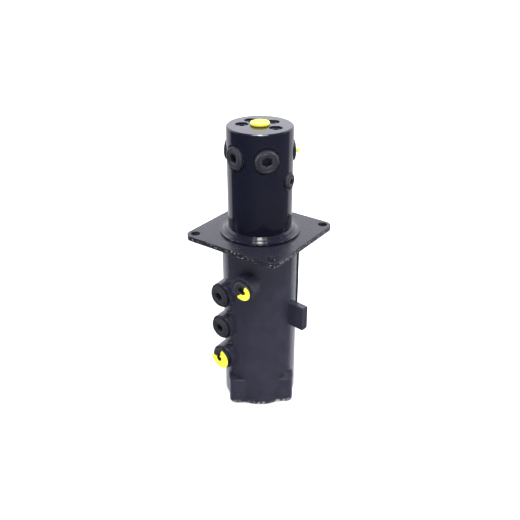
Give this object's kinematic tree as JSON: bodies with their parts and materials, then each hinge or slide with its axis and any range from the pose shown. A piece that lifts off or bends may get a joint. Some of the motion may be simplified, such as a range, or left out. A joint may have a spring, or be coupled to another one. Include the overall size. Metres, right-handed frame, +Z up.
{
  "type": "hydraulic rotary union",
  "caption": "Multi-passage hydraulic rotary union: a cast housing with port bosses and a torque lug, and a ported spindle with a square flange plate that turns in it.",
  "frame": {"origin": "centre of the base face, on the swivel axis", "axes": "+Z up along the swivel axis, -Y towards the housing's front, +X to its right"},
  "size_m": [0.1702, 0.1702, 0.3604],
  "materials": {
    "casting_paint": "semi-gloss black paint over cast iron",
    "turned_paint": "gloss black paint over turned steel",
    "plate_paint": "gloss black paint over flame-cut plate",
    "plug_paint": "gloss black paint over steel",
    "washer_paint": "black paint over steel and rubber",
    "ptfe": "filled PTFE",
    "guide_polymer": "filled polymer bearing strip",
    "nitrile": "nitrile rubber",
    "yellow_plastic": "yellow polyethylene",
    "screw_steel": "blackened steel",
    "spring_steel": "ground spring steel"
  },
  "bodies": {
    "housing_body": {"bonded_seal_drain": "washer_paint", "bonded_seal_front_1": "washer_paint", "bonded_seal_front_2": "washer_paint", "bonded_seal_front_3": "washer_paint", "bonded_seal_rear_1": "washer_paint", "bonded_seal_rear_2": "washer_paint", "cover_screws": "screw_steel", "cover_seal": "nitrile", "dust_wiper": "nitrile", "end_cover": "casting_paint", "energiser_1": "nitrile", "energiser_2": "nitrile", "energiser_3": "nitrile", "energiser_4": "nitrile", "energiser_5": "nitrile", "energiser_6": "nitrile", "energiser_7": "nitrile", "housing": "casting_paint", "lower_guide_ring": "guide_polymer", "port_plug_drain": "plug_paint", "port_plug_front_1": "plug_paint", "port_plug_front_2": "plug_paint", "port_plug_front_3": "plug_paint", "port_plug_rear_1": "plug_paint", "port_plug_rear_2": "plug_paint", "rotary_seal_1": "ptfe", "rotary_seal_2": "ptfe", "rotary_seal_3": "ptfe", "rotary_seal_4": "ptfe", "rotary_seal_5": "ptfe", "rotary_seal_6": "ptfe", "rotary_seal_7": "ptfe", "torn_cap_drain": "yellow_plastic", "torn_cap_front_3": "yellow_plastic", "upper_guide_ring": "guide_polymer"},
    "rotor": {"bonded_seal_a": "washer_paint", "bonded_seal_b": "washer_paint", "bonded_seal_c": "washer_paint", "bonded_seal_d": "washer_paint", "bonded_seal_e": "washer_paint", "bonded_seal_f": "washer_paint", "centre_cap": "yellow_plastic", "flange_plate": "plate_paint", "gallery_plugs": "plug_paint", "lower_gallery_plugs": "plug_paint", "port_plug_a": "plug_paint", "port_plug_b": "plug_paint", "port_plug_c": "plug_paint", "port_plug_d": "plug_paint", "port_plug_e": "plug_paint", "port_plug_f": "plug_paint", "root_weld": "plate_paint", "snap_ring": "spring_steel", "spindle": "turned_paint", "thrust_ring": "spring_steel", "torn_cap_d": "yellow_plastic"}
  },
  "joints": [
    {"name": "swivel", "type": "hinge", "parent": "housing_body", "child": "rotor", "pos_m": [0, 0, 0.2], "axis": [0, 0, 1], "continuous": true}
  ]
}
